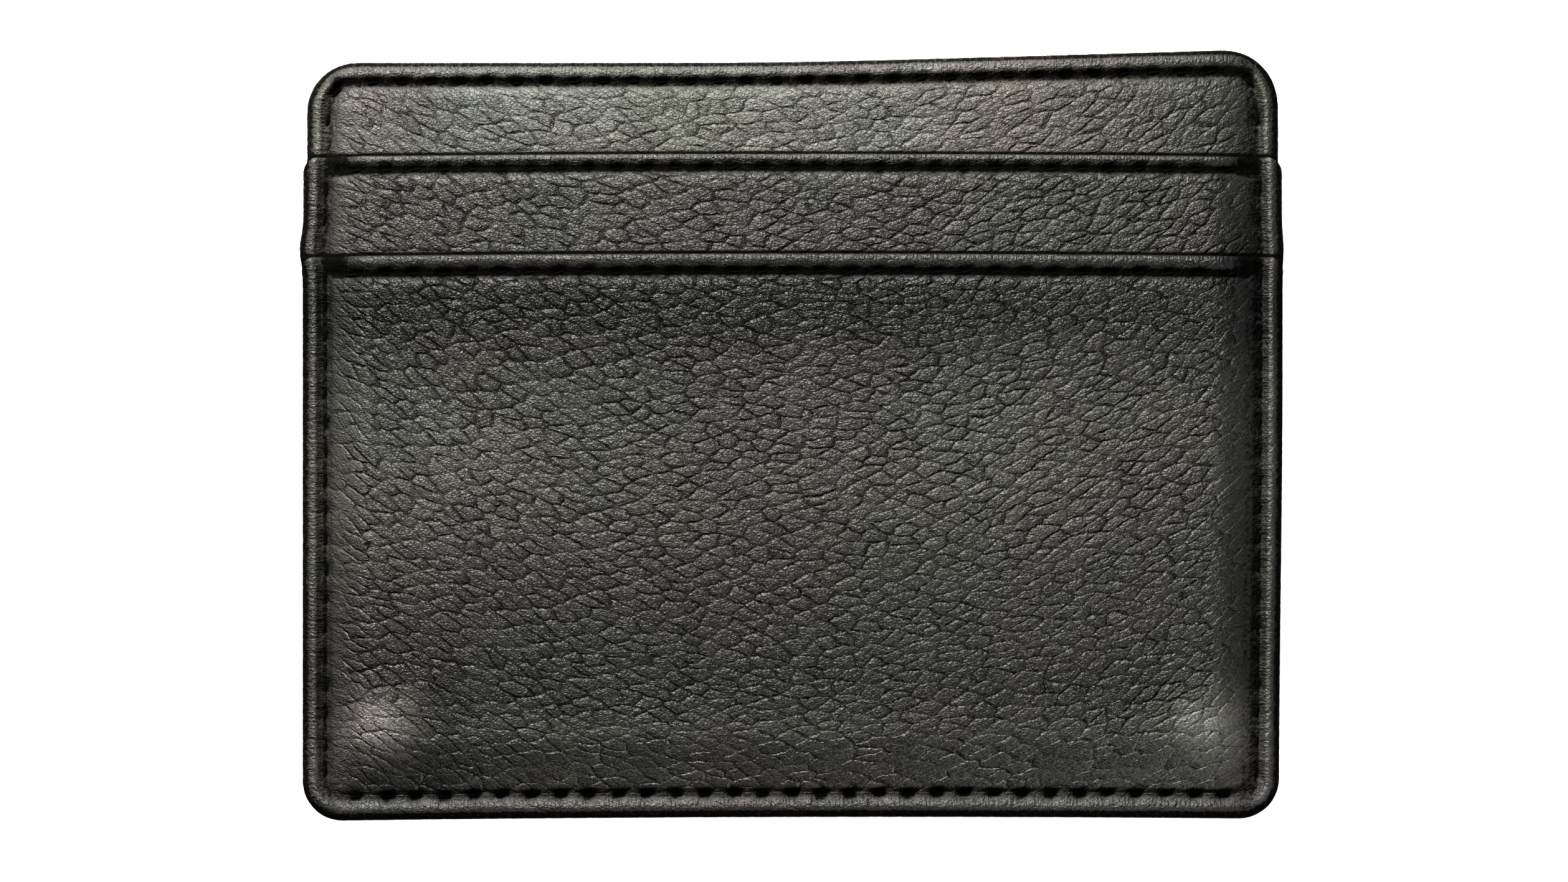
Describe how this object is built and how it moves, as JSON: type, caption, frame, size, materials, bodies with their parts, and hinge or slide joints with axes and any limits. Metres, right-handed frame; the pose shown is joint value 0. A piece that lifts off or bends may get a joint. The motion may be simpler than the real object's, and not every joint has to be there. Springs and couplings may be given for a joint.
{
  "type": "card holder",
  "caption": "Slim flat card holder in grained black leather, with stacked card pockets on both faces and a centre slot open at the top.",
  "frame": {"origin": "centre of the footprint on the table, with the holder lying on its back face", "axes": "+X across the width, +Y towards the slot mouths, +Z out of the front face"},
  "size_m": [0.1016, 0.0786, 0.0093],
  "materials": {
    "leather_black": "pebble-grained, semi-matt with a soft sheen",
    "lining_black": "fine woven lining, matt",
    "thread_black": "twisted polyester sewing thread",
    "stiffener_grey": "pressed fibre sheet, matt"
  },
  "bodies": {
    "root": {"front_lower_pocket": "leather_black", "front_lower_pocket_turned_edge": "leather_black", "front_lower_pocket_lining": "lining_black", "front_lower_lip_thread": "thread_black", "front_upper_pocket": "leather_black", "front_upper_pocket_turned_edge": "leather_black", "front_upper_pocket_lining": "lining_black", "front_upper_lip_thread": "thread_black", "front_panel": "leather_black", "front_panel_turned_edge": "leather_black", "front_panel_stiffener": "stiffener_grey", "front_panel_lining": "lining_black", "front_panel_top_thread": "thread_black", "seam_needle_thread": "thread_black", "back_lower_pocket": "leather_black", "back_lower_pocket_turned_edge": "leather_black", "back_lower_pocket_lining": "lining_black", "back_lower_lip_thread": "thread_black", "back_upper_pocket": "leather_black", "back_upper_pocket_turned_edge": "leather_black", "back_upper_pocket_lining": "lining_black", "back_upper_lip_thread": "thread_black", "back_panel": "leather_black", "back_panel_turned_edge": "leather_black", "back_panel_stiffener": "stiffener_grey", "back_panel_lining": "lining_black", "back_panel_top_thread": "thread_black", "seam_bobbin_thread": "thread_black"}
  },
  "joints": []
}
